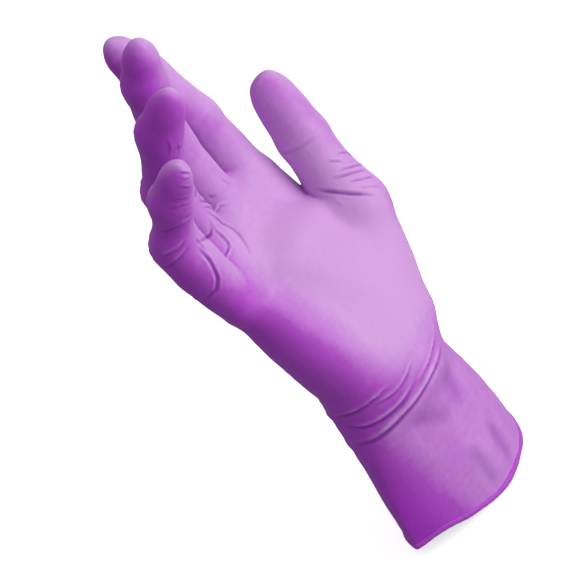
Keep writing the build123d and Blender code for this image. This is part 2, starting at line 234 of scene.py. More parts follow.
def grad(F,V,e=0.25):
    G=np.empty_like(V)
    for i in range(3):
        d=np.zeros(3); d[i]=e
        G[:,i]=(F(V+d)-F(V-d))/(2*e)
    return G
def project_to(F,V,steps=3,lim=0.8):
    for _ in range(steps):
        f=F(V); G=grad(F,V); g2=(G*G).sum(1)+1e-6
        st=G*(f/g2)[:,None]
        l=np.linalg.norm(st,axis=1); st*=np.minimum(1,lim/np.maximum(l,1e-9))[:,None]
        V=V-st
    return V
def neighbours(Q,n):
    E=np.concatenate([Q[:,[0,1]],Q[:,[1,2]],Q[:,[2,3]],Q[:,[3,0]]])
    E=np.unique(np.sort(E,1),axis=0)
    return E
def smooth_avg(V,E):
    n=len(V); S=np.zeros_like(V); c=np.zeros(n)
    for i in range(V.shape[1]):
        S[:,i]=np.bincount(E[:,0],V[E[:,1],i],n)+np.bincount(E[:,1],V[E[:,0],i],n)
    c=np.bincount(E[:,0],minlength=n)+np.bincount(E[:,1],minlength=n)
    return S/np.maximum(c,1)[:,None]
def relax(F,V,Q,it=3):
    E=neighbours(Q,len(V))
    for _ in range(it):
        A=smooth_avg(V,E); d=A-V
        G=grad(F,V); G/=np.linalg.norm(G,axis=1)[:,None]+1e-9
        d-=G*((d*G).sum(1))[:,None]
        V=V+0.6*d
        V=project_to(F,V,1)
    return V,E

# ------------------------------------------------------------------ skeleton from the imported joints
J = {j["name"]: j for j in frame["joints"]}
ALL = FINGERS + ('thumb',)
JN = {k: ((k+'_mcp', k+'_pip', k+'_dip') if k != 'thumb' else ('thumb_cmc', 'thumb_mcp', 'thumb_ip')) for k in ALL}
BODY = {k: (k+'_base', k+'_middle', k+'_tip') for k in ALL}

def jpos(n):
    return np.array(J[n]["pos_m"], float)*1000.0

def far_vertex(node, P):
    me = frame["nodes"][node].data
    c = np.empty(len(me.vertices)*3, np.float32)
    me.vertices.foreach_get("co", c)
    c = c.reshape(-1, 3).astype(float)*1000.0
    return c[np.argmax(((c-P)**2).sum(1))]

SK = {}
for k in ALL:
    S = [jpos(n) for n in JN[k]]
    SK[k] = np.array(S+[far_vertex(k+'_tip', S[2])])
PO = jpos('wrist')

def ry(a):
    c, s = np.cos(np.radians(a)), np.sin(np.radians(a))
    return np.array([[c, 0, s], [0, 1, 0], [-s, 0, c]])

RH = rx(-20.3) @ ry(-0.9)          # hand axes: across, dorsal, along
FR = {'cuff': (np.zeros(3), np.eye(3)), 'palm': (PO, RH)}
for k in ALL:
    for i, b in enumerate(BODY[k]):
        O = SK[k][i]
        u = unit(SK[k][i+1]-O)
        a = np.array(J[JN[k][i]]["axis"], float)
        v = unit(a-u*(a @ u))
        FR[b] = (O, np.stack([u, v, np.cross(u, v)], 1))

# ------------------------------------------------------------------ the skin
H = 0.65
F = build_field(SK, PO, RH)
V, Q = mesh_field(F, (-62, -50, -7), (72, 70, 240), H)
V = project_to(F, V, 1)
V, E = relax(F, V, Q, 2)

def normals(V, Q):
    fn = np.cross(V[Q[:, 2]]-V[Q[:, 0]], V[Q[:, 3]]-V[Q[:, 1]])
    N = np.zeros_like(V)
    for i in range(4):
        for a in range(3):
            N[:, a] += np.bincount(Q[:, i], fn[:, a], len(V))
    return N/(np.linalg.norm(N, axis=1)[:, None]+1e-12)

# ------------------------------------------------------------------ folds and creases
CREASES = [
    ("cuff", "f", 0.94, 0.52, [[-31.7, 8.3, 66.2],[-33.2, 1.9, 67.2],[-32.8, -2.8, 67.2],[-30.1, -8.6, 67.9],[-27.0, -11.8, 68.8],[-21.8, -15.3, 68.7]]),
    ("cuff", "f", 0.94, 0.57, [[-32.6, 5.8, 62.8],[-33.3, 1.9, 60.8],[-33.0, -3.6, 59.2],[-30.2, -10.3, 59.2],[-26.6, -14.6, 59.9],[-22.8, -17.5, 60.1],[-18.2, -19.6, 62.2],[-12.9, -21.1, 64.1]]),
    ("cuff", "f", 1.10, 0.76, [[-32.7, 6.2, 53.4],[-34.1, 0.9, 53.5],[-34.2, -2.8, 52.8],[-31.1, -10.3, 54.4],[-25.8, -15.9, 56.0],[-18.0, -20.3, 57.6],[-10.0, -22.5, 59.9],[-1.4, -23.0, 61.5],[8.4, -21.3, 62.5]]),
    ("cuff", "f", 0.77, 0.33, [[-29.3, -9.9, 67.2],[-25.7, -14.3, 64.8],[-21.1, -17.4, 65.5],[-15.0, -19.5, 66.9],[-8.0, -19.5, 69.0]]),
    ("cuff", "f", 0.77, 0.28, [[-14.5, -21.1, 62.1],[-6.8, -22.3, 64.0],[2.4, -21.6, 65.8],[10.8, -20.2, 68.8],[15.6, -20.2, 73.6]]),
    ("cuff", "r", 1.87, 0.33, [[-33.5, 1.5, 57.6],[-33.1, -5.1, 55.9],[-29.0, -12.5, 57.6],[-23.6, -17.2, 59.2],[-15.9, -20.9, 60.8],[-8.4, -22.4, 62.4]]),
    ("thumb_middle", "g", 0.75, 0.65, [[15.3, 3.1, 10.8],[13.0, 0.2, 11.8],[9.4, -5.1, 11.7],[6.0, -9.1, 10.6],[0.3, -14.0, 5.4]]),
    ("thumb_middle", "f", 0.54, 0.32, [[22.5, -9.5, 4.7],[20.0, -10.6, -0.7],[16.1, -10.1, -4.7]]),
    ("thumb_middle", "f", 0.54, 0.32, [[21.8, -6.9, 8.0],[20.1, -8.7, 6.2],[18.4, -9.9, 4.3]]),
    ("thumb_middle", "f", 0.54, 0.36, [[16.7, -8.1, 7.5],[14.4, -11.1, 2.9],[11.1, -11.1, -5.0]]),
    ("thumb_middle", "f", 0.61, 0.43, [[15.5, -5.0, 10.0],[14.0, -8.0, 8.4],[12.2, -11.2, 4.3],[9.7, -12.4, -1.6]]),
    ("thumb_middle", "f", 0.54, 0.36, [[10.7, -9.1, 8.3],[8.6, -12.0, 4.7],[5.5, -13.8, -2.0]]),
    ("thumb_middle", "r", 0.82, 0.22, [[9.2, -2.5, 12.6],[6.8, -4.0, 13.3],[3.8, -5.2, 13.9]]),
    ("thumb_middle", "g", 0.54, 0.22, [[6.6, -11.2, 7.8],[4.5, -13.4, 5.1],[1.4, -14.8, 0.3]]),
    ("palm", "f", 0.66, 0.41, [[-12.8, -20.9, 103.1],[-7.6, -18.0, 99.9],[-0.1, -13.6, 96.6],[1.8, -15.2, 94.5]]),
    ("palm", "f", 0.66, 0.48, [[-12.3, -20.3, 101.5],[-11.2, -19.0, 97.6],[-7.9, -16.9, 92.4],[-7.2, -17.3, 87.9],[-8.7, -17.8, 82.8],[-10.6, -17.6, 78.5],[-12.2, -17.3, 76.1]]),
    ("palm", "f", 0.60, 0.41, [[-13.5, -18.6, 96.0],[-14.4, -17.5, 93.0],[-14.3, -17.1, 89.5],[-15.4, -17.2, 85.8],[-18.1, -16.9, 84.5],[-24.1, -19.4, 83.7]]),
    ("palm", "f", 0.48, 0.24, [[8.1, -17.2, 103.0],[9.5, -16.4, 100.5],[9.9, -16.0, 98.3]]),
    ("palm", "g", 0.62, 0.54, [[-13.5, -19.1, 97.6],[-15.7, -17.6, 94.7],[-18.2, -15.7, 93.8],[-28.7, -23.6, 96.1],[-32.7, -24.5, 97.6]]),
    ("palm", "g", 0.62, 0.48, [[-12.4, -21.8, 105.8],[-8.8, -19.7, 103.3],[1.0, -13.6, 101.1],[2.6, -14.9, 100.5]]),
    ("palm", "g", 0.72, 0.68, [[-33.4, -23.7, 96.1],[-33.1, -22.9, 91.9],[-33.4, -22.0, 88.3],[-34.5, -20.3, 83.8],[-35.1, -19.6, 82.3],[-37.2, -17.0, 79.9],[-38.8, -14.3, 80.1],[-39.4, -10.0, 80.1]]),
    ("little_base", "f", 0.58, 0.37, [[34.1, -8.2, 5.7],[33.8, -9.7, 2.2],[33.8, -9.5, -2.9],[33.9, -7.7, -6.3],[34.7, -4.6, -9.3]]),
    ("little_middle", "f", 0.58, 0.32, [[1.5, -9.6, 2.3],[4.0, -9.2, -1.2],[6.0, -7.3, -4.6],[9.0, -4.5, -6.6]]),
    ("little_middle", "f", 0.58, 0.32, [[12.5, -7.6, 2.1],[15.7, -7.6, -2.5],[17.1, -5.9, -5.6],[17.4, -3.6, -7.3]]),
    ("little_tip", "f", 0.43, 0.24, [[21.5, -0.4, -0.4],[20.7, 1.5, -2.4]]),
    ("little_tip", "f", 0.43, 0.29, [[20.2, -3.6, -1.1],[20.0, -2.2, -3.3],[17.4, 1.5, -5.4]]),
    ("little_tip", "f", 0.43, 0.24, [[18.1, -4.3, -3.3],[17.2, -1.0, -5.6]]),
    ("little_tip", "f", 0.43, 0.24, [[14.8, -5.5, -2.6],[14.9, -4.6, -3.9],[13.2, -1.4, -6.1]]),
    ("little_tip", "f", 0.43, 0.24, [[9.1, -7.0, -1.4],[9.5, -5.6, -4.2],[8.8, -1.8, -6.9]]),
    ("little_tip", "f", 0.43, 0.24, [[4.6, -7.7, -1.4],[6.3, -5.8, -4.8],[5.7, -2.4, -7.2]]),
    ("ring_tip", "f", 0.54, 0.25, [[6.1, -6.8, -4.7],[2.1, -6.4, -6.4],[-2.6, -6.4, -7.0]]),
    ("ring_middle", "f", 0.54, 0.25, [[29.7, -3.8, -8.6],[25.4, -2.4, -8.6],[22.4, -3.0, -8.0]]),
    ("little_tip", "f", 0.54, 0.18, [[20.5, -0.1, 3.4],[21.4, 0.5, 0.0],[20.2, 3.4, -1.3]]),
    ("cuff", "r", 5.00, 0.35, [[-25.5, -15.8, 54.3],[-18.0, -18.9, 52.8],[-13.4, -19.8, 49.5],[-5.8, -21.6, 44.3]]),
    ("cuff", "g", 4.00, 0.35, [[-24.0, -15.0, 47.3],[-18.0, -18.2, 47.6],[-11.6, -20.6, 43.2],[-7.4, -21.7, 38.4]]),
    ("cuff", "r", 6.00, 0.30, [[-34.5, -5.4, 36.9],[-27.1, -13.5, 36.8],[-19.6, -18.5, 30.4],[-12.6, -22.0, 20.8]]),
    ("cuff", "g", 4.50, 0.30, [[0.7, -22.9, 57.9],[2.3, -21.6, 46.4],[0.2, -22.4, 37.3]]),
    ("palm", "g", 0.64, 0.42, [[-38.7, -6.9, 82.8],[-38.8, -6.7, 80.4],[-39.0, -6.9, 77.9]]),
    ("palm", "g", 0.64, 0.34, [[-38.9, -6.7, 79.2],[-38.6, -5.9, 76.4],[-38.3, -5.6, 73.6]]),
    ("palm", "r", 0.80, 0.42, [[-38.5, -6.7, 84.8],[-38.8, -6.8, 81.4],[-39.4, -9.2, 78.9]]),
    ("palm", "f", 0.56, 0.21, [[-31.7, -25.5, 99.3],[-31.1, -24.0, 96.0],[-31.2, -23.4, 93.1]]),
]

def spline(q, step=0.7):
    q = np.array(q, float)
    if len(q) == 2:
        q = np.array([q[0], q.mean(0), q[1]])
    p = np.concatenate([[2*q[0]-q[1]], q, [2*q[-1]-q[-2]]])
    out = []
    for i in range(1, len(p)-2):
        n = max(2, int(np.linalg.norm(p[i+1]-p[i])/step))
        t = (np.arange(n)/n)[:, None]
        a, b, c, d = p[i-1], p[i], p[i+1], p[i+2]
        out.append(0.5*(2*b+(c-a)*t+(2*a-5*b+4*c-d)*t*t+(3*b-a-3*c+d)*t**3))
    out.append(p[-2:-1])
    return np.concatenate(out)

def around(bone, s, f0, f1, slant=0.0, bow=0.0, n=9):
    """points on the skin round a bone at station s; angle 0 is the back of the hand, positive towards the bone's second axis"""
    O, R = FR[bone]
    f = np.radians(np.linspace(f0, f1, n))
    t = np.linspace(-1, 1, n)
    c = O+np.outer(s+slant*t+bow*(1-t*t), R[:, 0])
    d = np.outer(np.cos(f), R[:, 2])+np.outer(np.sin(f), R[:, 1])
    return onto(c, d)

def onto(c, d):
    lo = np.zeros(len(c)); hi = np.full(len(c), np.nan)
    for r in np.arange(2.0, 60.0, 1.0):
        g = F(c+d*r)
        m = np.isnan(hi) & (g > 0)
        hi[m] = r
        lo = np.where(np.isnan(hi), r, lo)
        if not np.isnan(hi).any():
            break
    hi = np.where(np.isnan(hi), 60.0, hi)
    for _ in range(12):
        m = (lo+hi)/2
        g = F(c+d*m[:, None]) > 0
        hi = np.where(g, m, hi); lo = np.where(g, lo, m)
    return c+d*((lo+hi)/2)[:, None]

def along(bone, phi, s0, s1, drift=0.0, n=8):
    """points on the skin running along a bone at angle phi"""
    O, R = FR[bone]
    s = np.linspace(s0, s1, n)
    f = np.radians(phi+drift*np.linspace(-1, 1, n)**2)
    c = O+np.outer(s, R[:, 0])
    d = np.outer(np.cos(f), R[:, 2])+np.outer(np.sin(f), R[:, 1])
    return onto(c, d)

def ring_cuff(z, a0, a1, slant=0.0, bow=0.0, n=11):
    """points on the cuff at height z between two angles; 0 is +X, 90 is the back of the hand"""
    f = np.radians(np.linspace(a0, a1, n)); t = np.linspace(-1, 1, n)
    c = np.stack([0*f, 0*f, z+slant*t+bow*(1-t*t)], 1)
    d = np.stack([np.cos(f), np.sin(f), 0*f], 1)
    return onto(c, d)

def run_cuff(ang, z0, z1, drift=0.0, n=9):
    z = np.linspace(z0, z1, n); f = np.radians(ang+drift*np.linspace(0, 1, n))
    c = np.stack([0*z, 0*z, z], 1); d = np.stack([np.cos(f), np.sin(f), 0*z], 1)
    return onto(c, d)

MADE = [(kind, w, a, FR[b][0]+np.array(q) @ FR[b][1].T) for b, kind, w, a, q in CREASES]
# knuckle and joint folds that every finger of a worn glove has
for k in FINGERS:
    for i, (s0, amp) in enumerate(((0.0, 1.0), (0.0, 0.75))):
        b = BODY[k][i+1]
        for j, (ds, a0, a1, sl) in enumerate(((-4.2, -38, 44, .5), (-1.4, -52, 56, -.4), (1.5, -46, 50, .6), (4.4, -34, 30, -.5))):
            MADE.append(('f', .62, .26*amp, around(b, ds*(1 if i == 0 else .75), a0, a1, sl, .5)))
        if k == 'ring' or (k == 'little' and i == 1):
            MADE.append(('g', .8, .3*amp, around(b, 0.2, 118, 242, .5, -.5)))
    b = BODY[k][0]
    MADE.append(('f', .8, .3, around(b, 27, -30, 40, 1.5, 1.0)))
    MADE.append(('f', .8, .28, around(b, 22, -50, 20, -1.6, 1.2)))
for i, (ds, a0, a1, sl) in enumerate(((-6, -60, 50, 1.2), (-2.5, -72, 64, -.8), (1.2, -66, 60, .9), (4.6, -50, 55, -.9), (7.6, -40, 30, .8))):
    MADE.append(('f', .75, .34, around('thumb_middle', ds, a0+180, a1+180, sl, .8)))
for i, (ds, a0, a1, sl) in enumerate(((-4.6, -50, 46, .8), (-1.6, -60, 58, -.6), (1.6, -56, 50, .7), (4.6, -40, 40, -.6))):
    MADE.append(('f', .7, .3, around('thumb_tip', ds, a0+180, a1+180, sl, .6)))
MADE.append(('g', .9, .16, around('thumb_tip', 0.0, -50, 50, .6, -.8)))
# back of the hand: slack between the knuckles, and pulls running up to them
for k, ph, dr in (('index', 24, 8), ('middle', -16, 10), ('middle', 20, -8), ('ring', -20, 9), ('ring', 18, -8), ('little', -22, 10)):
    MADE.append(('r', 1.6, .3, along(BODY[k][0], ph, -34, -6, dr)))
for k, ph, dr in (('index', -14, 6), ('middle', 2, 5), ('ring', 0, 6), ('little', 10, -6)):
    MADE.append(('f', 1.0, .28, along(BODY[k][0], ph, -26, 4, dr)))
# wrist, all the way round the back
for z, a0, a1, sl, bw, w, a in ((57, 28, 152, -2.0, 2.2, 1.2, .6), (61, 60, 172, 1.8, 1.0, 1.1, .5), (53.5, 10, 104, 1.6, -1.2, 1.1, .45),
                                (65, 20, 118, -1.4, 2.0, 1.0, .45), (68.5, 70, 160, 1.6, 1.2, 1.0, .38), (49.5, 92, 168, -1.5, 1.0, 1.3, .4),
                                (60, -28, 40, 2.2, .8, 1.0, .45), (55, -36, 22, -1.6, .8, 1.1, .4), (64.5, -30, 20, 1.0, 1.4, .9, .32)):
    MADE.append(('f', w, a, ring_cuff(z, a0, a1, sl, bw)))
# loose cuff: long soft folds from the wrist to the rim
for ang, z0, z1, dr, w, a, kd in ((62, 8, 50, 8, 4.0, .65, 'r'), (96, 4, 46, -10, 4.6, .7, 'r'), (128, 10, 52, 8, 3.6, .6, 'r'),
                                  (80, 6, 44, 4, 3.2, .5, 'g'), (112, 6, 40, -5, 3.4, .5, 'g'), (-62, 3, 34, 9, 4.2, .45, 'r'),
                                  (-96, 2, 30, -8, 4.8, .5, 'r'), (-122, 3, 34, 9, 3.8, .42, 'r'), (-78, 2, 26, 4, 3.2, .35, 'g'),
                                  (-110, 2, 26, -4, 3.4, .35, 'g'), (20, 14, 46, 8, 3.2, .5, 'g'), (158, 14, 48, -8, 3.2, .5, 'g')):
    MADE.append((kd, w, a, run_cuff(ang, z0, z1, dr)))

def crease(V, N, made):
    disp = np.zeros(len(V)); crease_shade = np.zeros(len(V))
    for kind, w, a, q in made:
        q = spline(q)
        if kind == 'f' and len(q) > 34:              # long folds sweep without kinks
            for _ in range(60):
                q[1:-1] = 0.5*q[1:-1]+0.25*(q[:-2]+q[2:])
        g = grad(F, q); g /= np.linalg.norm(g, axis=1)[:, None]+1e-9
        q = q-g*F(q)[:, None]
        L = np.concatenate([[0], np.cumsum(np.linalg.norm(np.diff(q, axis=0), axis=1))])
        reach = 3.2*w
        m = np.where(((V > q.min(0)-reach) & (V < q.max(0)+reach)).all(1))[0]
        if not len(m):
            continue
        P = V[m]
        best = np.full(len(m), 1e9); side = np.zeros(len(m)); pos = np.zeros(len(m)); face = np.zeros(len(m))
        for i in range(len(q)-1):
            A, B = q[i], q[i+1]; d = B-A; l2 = d @ d+1e-12
            near = np.where((np.abs(P-(A+B)/2) < reach+1.0).all(1))[0]
            if not len(near):
                continue
            X = P[near]-A; t = np.clip(X @ d/l2, 0, 1); X = X-np.outer(t, d)
            D = np.sqrt((X*X).sum(1))
            s = np.cross(g[i], d/np.sqrt(l2))
            up = D < best[near]; j = near[up]
            best[j] = D[up]; side[j] = np.sign(X[up] @ s); pos[j] = L[i]+t[up]*(L[i+1]-L[i]); face[j] = N[m[j]] @ g[i]
        tp = np.clip(pos/L[-1], 0, 1)
        taper = np.clip(np.minimum(tp, 1-tp)/0.28, 0, 1)**0.8
        taper = np.where((tp <= 0) | (tp >= 1), 0, taper)
        wob = 1+0.14*np.sin(pos*.55/np.sqrt(w)+len(q))+0.07*np.sin(pos*1.25/np.sqrt(w)+a*9)
        amp = a*(1.45 if kind == 'f' else 1.1)*taper*wob*sst(face, 0.15, 0.55)
        # the second mark paints shade: it is 1 along groove and fold valleys and 0 on ridges, and darkens the base
        # colour there
        if kind == 'g':
            v = -np.exp(-(best/w)**2)+0.20*np.exp(-((best-1.9*w)/(0.9*w))**2)
            crease_dark = np.exp(-(best/w)**2)
        elif kind == 'r':
            v = np.exp(-(best/w)**2); crease_dark = 0*v
        else:
            ds = best*side
            v = 0.85*np.exp(-((ds-1.05*w)/w)**2)-0.75*np.exp(-((ds+0.35*w)/(0.75*w))**2)
            crease_dark = 0.9*np.exp(-((ds+0.35*w)/(0.8*w))**2)
        disp[m] += amp*v
        crease_shade[m] += np.minimum(1.0, a*1.6)*taper*crease_dark*sst(face, 0.15, 0.55)
    return disp, crease_shade

def waves(P, seed, n, lam0, lam1):
    """smooth unevenness: a fixed sum of plane waves"""
    r = np.random.RandomState(seed)
    o = np.zeros(len(P))
    for _ in range(n):
        d = unit(r.normal(size=3)); l = lam0+(lam1-lam0)*r.rand()
        o += np.sin(P @ d*(2*np.pi/l)+r.rand()*6.283+1.3*np.sin(P @ unit(r.normal(size=3))*(2*np.pi/(l*2.3))))
    return o/math.sqrt(n)

N = normals(V, Q)
disp, crease_shade = crease(V, N, MADE)
disp = np.clip(disp, -1.15, 1.15)
disp += 0.085*waves(V, 5, 14, 9, 22)+0.03*waves(V, 9, 12, 3.2, 6.5)
V0 = V.copy()
V = V+N*disp[:, None]
for _ in range(1):
    V = V+0.12*(smooth_avg(V, E)-V)

# ------------------------------------------------------------------ rim line of the cuff
def rim_z(P):
    a = np.arctan2(P[:, 1]*1.75, P[:, 0])
    # the slack corner on the little-finger side hangs higher than the rest
    return RIMZ+5.0*sst(-P[:, 0], 6, 44)+0.45*np.sin(2*a+0.7)+0.35*np.sin(5*a+1.9)+0.2*np.sin(9*a+0.4)
RIMZ = 1.6
zr = rim_z(V0)
keepv = V[:, 2] > zr
keep = keepv[Q].all(1)
Q = Q[keep]
edge = np.concatenate([Q[:, [0, 1]], Q[:, [1, 2]], Q[:, [2, 3]], Q[:, [3, 0]]])
code = edge[:, 0].astype(np.int64)*len(V)+edge[:, 1]
back = edge[:, 1].astype(np.int64)*len(V)+edge[:, 0]
lone = ~np.isin(code, back)
rimv = np.unique(edge[lone])
V[rimv, 2] = zr[rimv]
N = normals(V, Q)

# ------------------------------------------------------------------ which body each point of the skin is weighted to
def seg(P, A, B):
    d = B-A; t = np.clip(((P-A) @ d)/(d @ d), 0, 1)
    return np.linalg.norm(P-A-np.outer(t, d), axis=1), (P-A) @ unit(d)

P = V0
hz = RH[:, 2]
tw = unit(hz+np.array([0, 0, 1.0]))
w_wrist = sst((P-PO) @ tw, -15, 15)
st, sa = {}, {}
for k in FINGERS:
    d = np.minimum(np.minimum(seg(P, SK[k][0]-unit(SK[k][1]-SK[k][0])*14, SK[k][1])[0], seg(P, SK[k][1], SK[k][2])[0]), seg(P, SK[k][2], SK[k][3])[0])
    st[k] = d-9.0
    sa[k] = (P-SK[k][0]) @ unit(SK[k][1]-SK[k][0])
th = SK['thumb']
W = lambda x, y, z: PO+RH @ np.array([x, y, z], float)
dt = np.minimum(np.minimum(seg(P, th[0], th[1])[0]-12, seg(P, th[1], th[2])[0]-11), seg(P, th[2], th[3])[0]-9)
owner = np.argmin(np.stack([st[k] for k in FINGERS]+[dt-0.0]), 0)
TAU = {}
def plane_w(P, A, B, C, half):
    """0 to 1 across the joint at B, between bones A-B and B-C"""
    n = unit(unit(B-A)+unit(C-B))
    return sst((P-B) @ n, -half, half)
half_pip = {'index': 9.5, 'middle': 10, 'ring': 9.5, 'little': 8.5}
for i, k in enumerate(FINGERS):
    S = SK[k]
    c = np.full(len(P), 99.0)
    for j in (i-1, i+1):
        if 0 <= j < 4:
            o = FINGERS[j]
            beyond = sst(np.minimum(sa[k], sa[o]), 26, 33)
            c = np.minimum(c, st[o]-st[k]+30*beyond)
    if k == 'index':
        c = np.minimum(c, dt-st[k]+30*sst(sa[k], 14, 26))
    mine = owner == i
    m = sst(sa[k], -12, 14)*sst(c, 0, 6)
    p = plane_w(P, S[0], S[1], S[2], half_pip[k])*sst(c, 6, 12)
    d = plane_w(P, S[1], S[2], S[3], 6.8)
    m, p, d = m*mine, p*mine, d*mine
    p = np.where(m >= 0.9999, p, 0); d = np.where(p >= 0.9999, d, 0)
    TAU[k] = m+p+d
wp = seg(P, W(17, -3, 8), W(29, -4.6, 76))[0]-7
wt = seg(P, th[0], th[1])[0]-9
ratio = np.clip(wp, 0.5, None)/(np.clip(wp, 0.5, None)+np.clip(wt, 0.5, None))
stn = (P-th[0]) @ unit(th[1]-th[0])
zpalm = (P-PO) @ hz
c = np.min([st[k] for k in FINGERS], axis=0)-dt+30*sst(stn, 46, 56)*(1-sst(dt, 2, 7))
ratio = np.maximum(ratio, sst(stn, 38, 50))
m = sst(ratio, .30, .62)*sst(stn, 2, 26)*sst(zpalm, 16, 34)*sst(c/(1+6*sst(dt, 6, 14)), 0, 5)
p = plane_w(P, th[0], th[1], th[2], 10)*sst(ratio, .62, .8)*sst(c, 5, 9)
d = plane_w(P, th[1], th[2], th[3], 8.5)
mine = owner == 4
m, p, d = m*mine, p*mine, d*mine
m = np.where(m > 0.9995, 1.0, m); p = np.where(p > 0.9995, 1.0, p)
p = np.where(m >= 0.9999, p, 0); d = np.where(p >= 0.9999, d, 0)
TAU['thumb'] = m+p+d
for k in ALL:                                    # digit weights stay 0 until the wrist weight has reached 1
    TAU[k] = np.where(w_wrist >= 0.9999, TAU[k], 0)
wr = np.where(w_wrist > 0.9995, 1.0, w_wrist)

# ------------------------------------------------------------------ faces to pieces
fq = {k: TAU[k][Q] for k in ALL}
piece = np.zeros(len(Q), int)                    # 0 cuff, 1 wrist, 2 palm, then 3 per digit
fw = wr[Q]
piece[fw.max(1) > 0] = 1
piece[fw.min(1) >= 1] = 2
cent = P[Q].mean(1)
SPLIT = {'index': (33.2, .5), 'middle': (35.6, .5), 'ring': (32.6, .5), 'little': (26.4, .5), 'thumb': (28.0, .5)}
names = ['glove_cuff', 'glove_wrist', 'glove_palm']
for n_, k in enumerate(ALL):
    S = SK[k]; t = fq[k]
    base = 3+3*n_
    on = t.max(1) > 0
    piece[on] = base
    piece[on & (t.max(1) > 1)] = base+1
    s0 = (cent-S[0]) @ unit(S[1]-S[0]); s1 = (cent-S[1]) @ unit(S[2]-S[1])
    L1 = np.linalg.norm(S[2]-S[1])
    piece[on & (t.min(1) >= 1) & (t.max(1) <= 1) & (s0 > SPLIT[k][0])] = base+1
    piece[on & (t.max(1) > 2)] = base+2
    piece[on & (t.min(1) >= 2) & (s1 > L1*0.5)] = base+2
    names += ['glove_%s_base' % k, 'glove_%s_middle' % k, 'glove_%s_tip' % k]

FILM = 0.35
def skin_piece(name, f, weight=None):
    ids, inv = np.unique(f, return_inverse=True)
    f = inv.reshape(-1, 4); n = len(ids)
    co = np.concatenate([V[ids], V[ids]-N[ids]*FILM])*0.001
    e = np.concatenate([f[:, [0, 1]], f[:, [1, 2]], f[:, [2, 3]], f[:, [3, 0]]])
    c0 = e[:, 0].astype(np.int64)*n+e[:, 1]; c1 = e[:, 1].astype(np.int64)*n+e[:, 0]
    b = e[~np.isin(c0, c1)]
    rim = np.stack([b[:, 1], b[:, 0], b[:, 0]+n, b[:, 1]+n], 1)
    q = np.concatenate([f, f[:, ::-1]+n, rim])
    me = bpy.data.meshes.new(name)
    me.vertices.add(len(co)); me.vertices.foreach_set("co", co.astype(np.float32).ravel())
    me.loops.add(q.size); me.loops.foreach_set("vertex_index", q.astype(np.int32).ravel())
    me.polygons.add(len(q))
    me.polygons.foreach_set("loop_start", np.arange(len(q), dtype=np.int32)*4)
    me.polygons.foreach_set("use_smooth", np.ones(len(q), bool))
    me.update(calc_edges=True)
    nn = np.concatenate([N[ids], -N[ids]])
    me.normals_split_custom_set_from_vertices(nn.tolist())
    at = me.attributes.new("crease_shade", "FLOAT", "POINT")
    at.data.foreach_set("value", np.concatenate([crease_shade[ids], 0*crease_shade[ids]]).astype(np.float32))
    at = me.attributes.new("slack_and_shade", "FLOAT", "POINT")
    at.data.foreach_set("value", np.concatenate([slack_and_shade[ids], slack_and_shade[ids]]).astype(np.float32))
    ob = bpy.data.objects.new(name, me)
    bpy.context.scene.collection.objects.link(ob)
    return ob, (None if weight is None else np.concatenate([weight[ids], weight[ids]]))

def bend(ob, a, b, pivot, w):
    """bakes the piece's placement into its mesh and does nothing more: bodies a and b, the pivot and the weights w are
    not used, so the piece follows no body and does not bend; the weights keep 0 in the web between two fingers"""
    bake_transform(ob)
    np.clip(w, 0, 1).astype(np.float32)

# how pale the film is, partly from how tight it is and partly painted light and shade: convex and close to the bone
# reads lighter, slack and folded reads deeper, and the lit palm and sides are painted paler, the shaded ones deeper
A_ = smooth_avg(V, E)
curv = ((A_-V)*N).sum(1)
for _ in range(3):
    curv = 0.5*curv+0.5*smooth_avg(curv[:, None], E)[:, 0]
h_ = (V0-PO) @ RH
palmar = sst(-h_[:, 1], -6, 8)
# painted light and shade: the palm is painted palest in its middle, where light falls, and deeper towards the shaded
# little-finger border; partly the film stretched over the palm
pale = 0.97*palmar*np.exp(-(np.maximum(0, -5-h_[:, 0])/25)**2-(np.maximum(0, h_[:, 0]-28)/38)**2-(np.maximum(0, h_[:, 2]-66)/80)**2-(np.maximum(0, 22-h_[:, 2])/36)**2)
pale += 0.72*(1-palmar)*np.exp(-((h_[:, 0]-2)/36)**2-((h_[:, 2]-62)/46)**2)
dig = np.zeros(len(V0))
lit_dir = RH @ unit([.75, -.5, .35])         # painted light: faces turned this way, to the thumb side and the pads, are painted paler as if lit, only partly for the film drawn tight there
for k in ALL:
    dig = np.maximum(dig, np.clip(TAU[k], 0, 1)*np.clip({'index': .60, 'middle': .54, 'ring': .38, 'little': .56, 'thumb': .46}[k]+.44*(N @ lit_dir), 0, 1))
pale = np.maximum(pale, dig)
# painted shade: below the wrist the cuff is painted deeper on its little-finger and back side and towards the rim,
# where shade falls, and partly for its looser film
low = 1-w_wrist
pale = np.where(low > 0, pale*(1-low)+low*(0.05+0.66*sst(0.68*V0[:, 0]-0.73*V0[:, 1]+0.3*(V0[:, 2]-25), -29, 1)), pale)
# the curvature term paints hollows deeper: painted shade
slack_and_shade = np.clip(1-pale+curv*4.0, 0, 1)
crease_shade = np.clip(crease_shade, 0, 1)

# ------------------------------------------------------------------ finishes
def node(nt, kind, **kw):
    n = nt.nodes.new(kind)
    for k, v in kw.items():
        setattr(n, k, v)
    return n

def ramp(nt, stops):
    r = node(nt, 'ShaderNodeValToRGB')
    e = r.color_ramp.elements
    while len(e) > len(stops):
        e.remove(e[-1])
    while len(e) < len(stops):
        e.new(0.5)
    for el, (p, c) in zip(e, stops):
        el.position = p
        el.color = (*c, 1)
    return r

